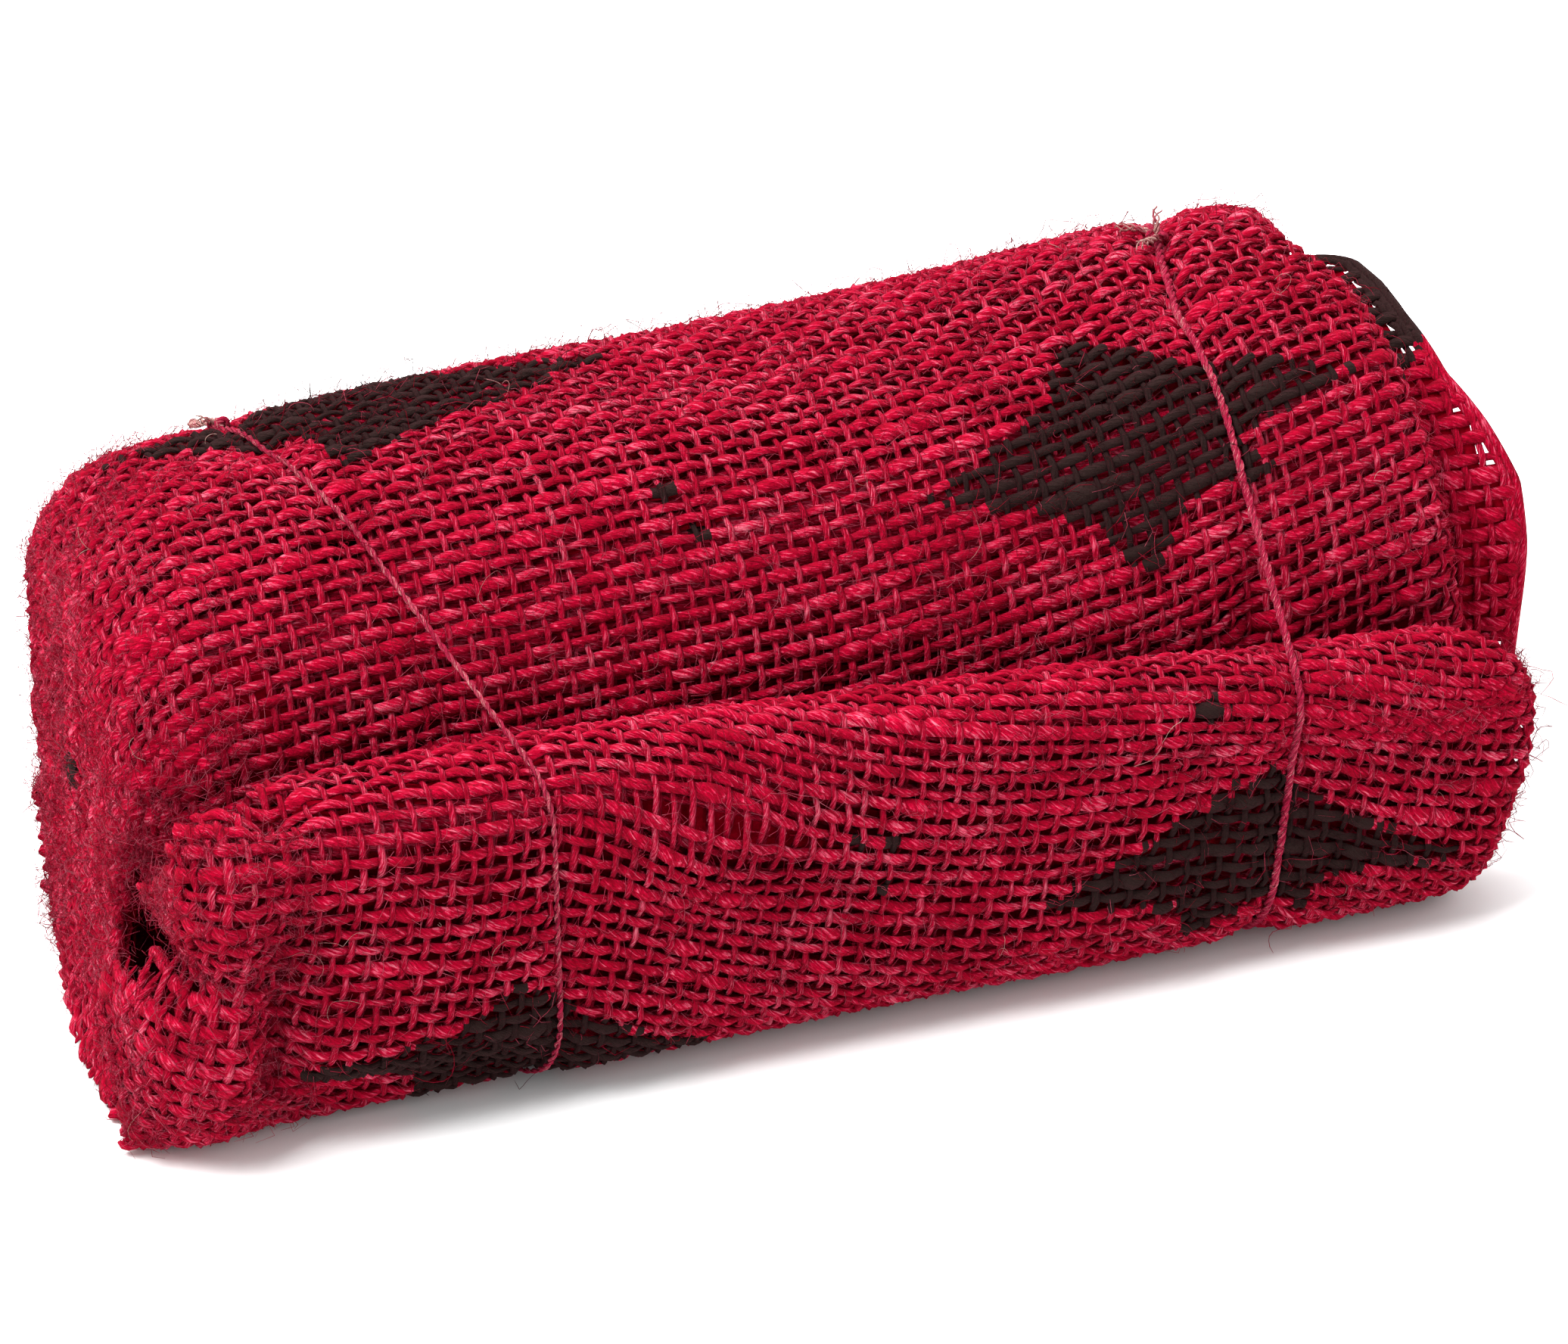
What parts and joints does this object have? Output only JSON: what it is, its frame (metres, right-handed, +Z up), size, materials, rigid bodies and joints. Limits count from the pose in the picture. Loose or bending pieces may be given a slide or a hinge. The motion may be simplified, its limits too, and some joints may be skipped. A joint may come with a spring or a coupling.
{
  "type": "rolled burlap bag",
  "caption": "Burlap bag folded into a strip, rolled up and tied with thin jute threads, its last length folded up in front and a loose ply sticking out at one end.",
  "frame": {"origin": "centre of the bounding box's footprint, on the surface that the bundle lies on", "axes": "+X along the bundle to the end with the loose ply, +Y away from the front fold, +Z up"},
  "size_m": [0.1954, 0.0836, 0.0759],
  "materials": {
    "burlap": "coarse plain-weave jute cloth, dyed crimson, with dark printed stars",
    "tie_thread": "thin twisted jute thread, faded red with pale fibres"
  },
  "bodies": {
    "root": {"bag_cloth": "burlap", "tie_left": "tie_thread", "tie_right": "tie_thread"}
  },
  "joints": []
}
